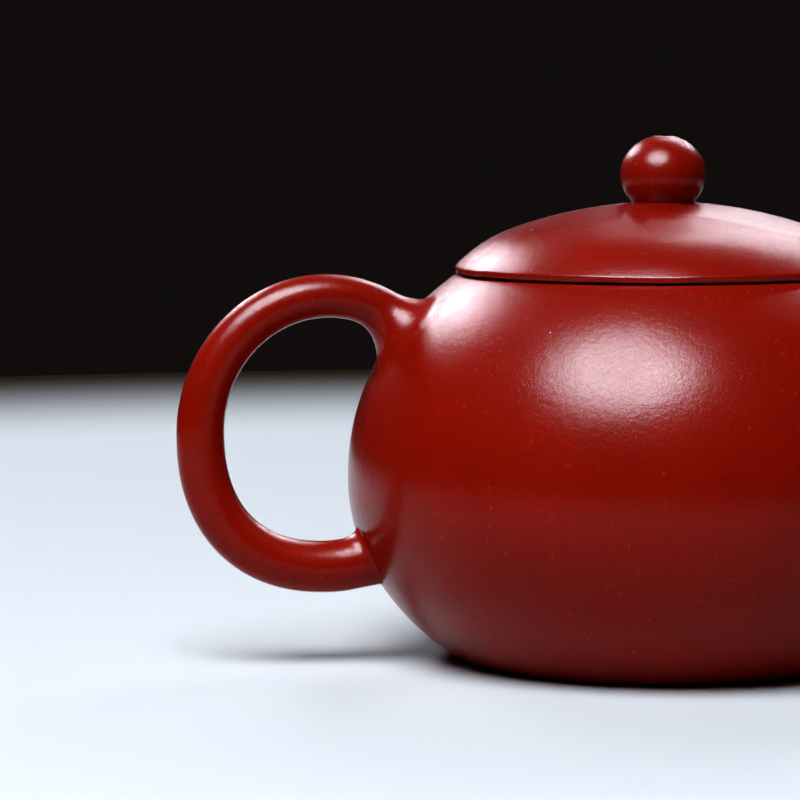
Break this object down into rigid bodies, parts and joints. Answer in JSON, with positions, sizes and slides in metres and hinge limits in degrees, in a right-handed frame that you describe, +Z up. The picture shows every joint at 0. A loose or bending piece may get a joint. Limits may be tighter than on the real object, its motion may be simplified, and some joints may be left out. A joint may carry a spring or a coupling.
{
  "type": "clay teapot",
  "caption": "Small round clay teapot with a low domed lift-off lid, ball knob, ring handle and a short rising spout with a strainer inside.",
  "frame": {"origin": "middle of the base, on the pot's upright axis, at the height of the surface that it stands on", "axes": "+Z up along the axis of body and lid, +X towards the spout, handle on -X"},
  "size_m": [0.1364, 0.088, 0.0727],
  "materials": {
    "burnished_clay": "satin, rubbed smooth, fine grain",
    "wiped_clay": "matte, wiped"
  },
  "bodies": {
    "pot": {"body_wall": "burnished_clay", "shoulder_disc": "burnished_clay", "base_disc": "wiped_clay", "mouth_ring": "wiped_clay", "handle": "burnished_clay", "spout": "burnished_clay", "spout_strainer": "wiped_clay"},
    "lid": {"lid_plate": "burnished_clay", "lid_seat_disc": "burnished_clay", "lid_flange": "wiped_clay", "knob": "burnished_clay"}
  },
  "joints": [
    {"name": "lid_lift", "type": "slide", "parent": "pot", "child": "lid", "axis": [0, 0, 1], "range_m": [0, 0.06]}
  ]
}
